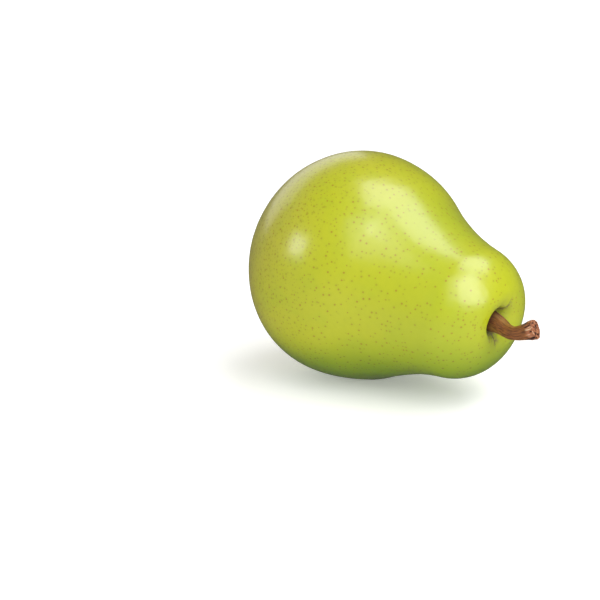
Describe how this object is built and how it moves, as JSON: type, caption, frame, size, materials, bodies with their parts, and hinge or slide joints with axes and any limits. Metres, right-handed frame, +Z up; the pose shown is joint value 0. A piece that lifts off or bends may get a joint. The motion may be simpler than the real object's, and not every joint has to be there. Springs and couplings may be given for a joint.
{
  "type": "pear",
  "caption": "Whole ripe pear with a bent woody stem and a dried calyx, lying on its side on a small flat spot.",
  "frame": {"origin": "centre of the small flat spot under the belly that the pear rests on, at floor level", "axes": "+Z up from the floor; +X along the pear towards the stem, seen from above; the neck leans slightly towards +Y"},
  "size_m": [0.1078, 0.074, 0.0737],
  "materials": {
    "skin": "waxy satin skin, yellow-green with small brown dots",
    "stem": "dry bark, red-brown, with a rough pale scar",
    "sepals": "withered and matt",
    "styles": "withered and matt"
  },
  "bodies": {
    "root": {"fruit": "skin", "stem": "stem", "sepal_1": "sepals", "sepal_2": "sepals", "sepal_3": "sepals", "sepal_4": "sepals", "sepal_5": "sepals", "style_tuft": "styles"}
  },
  "joints": []
}
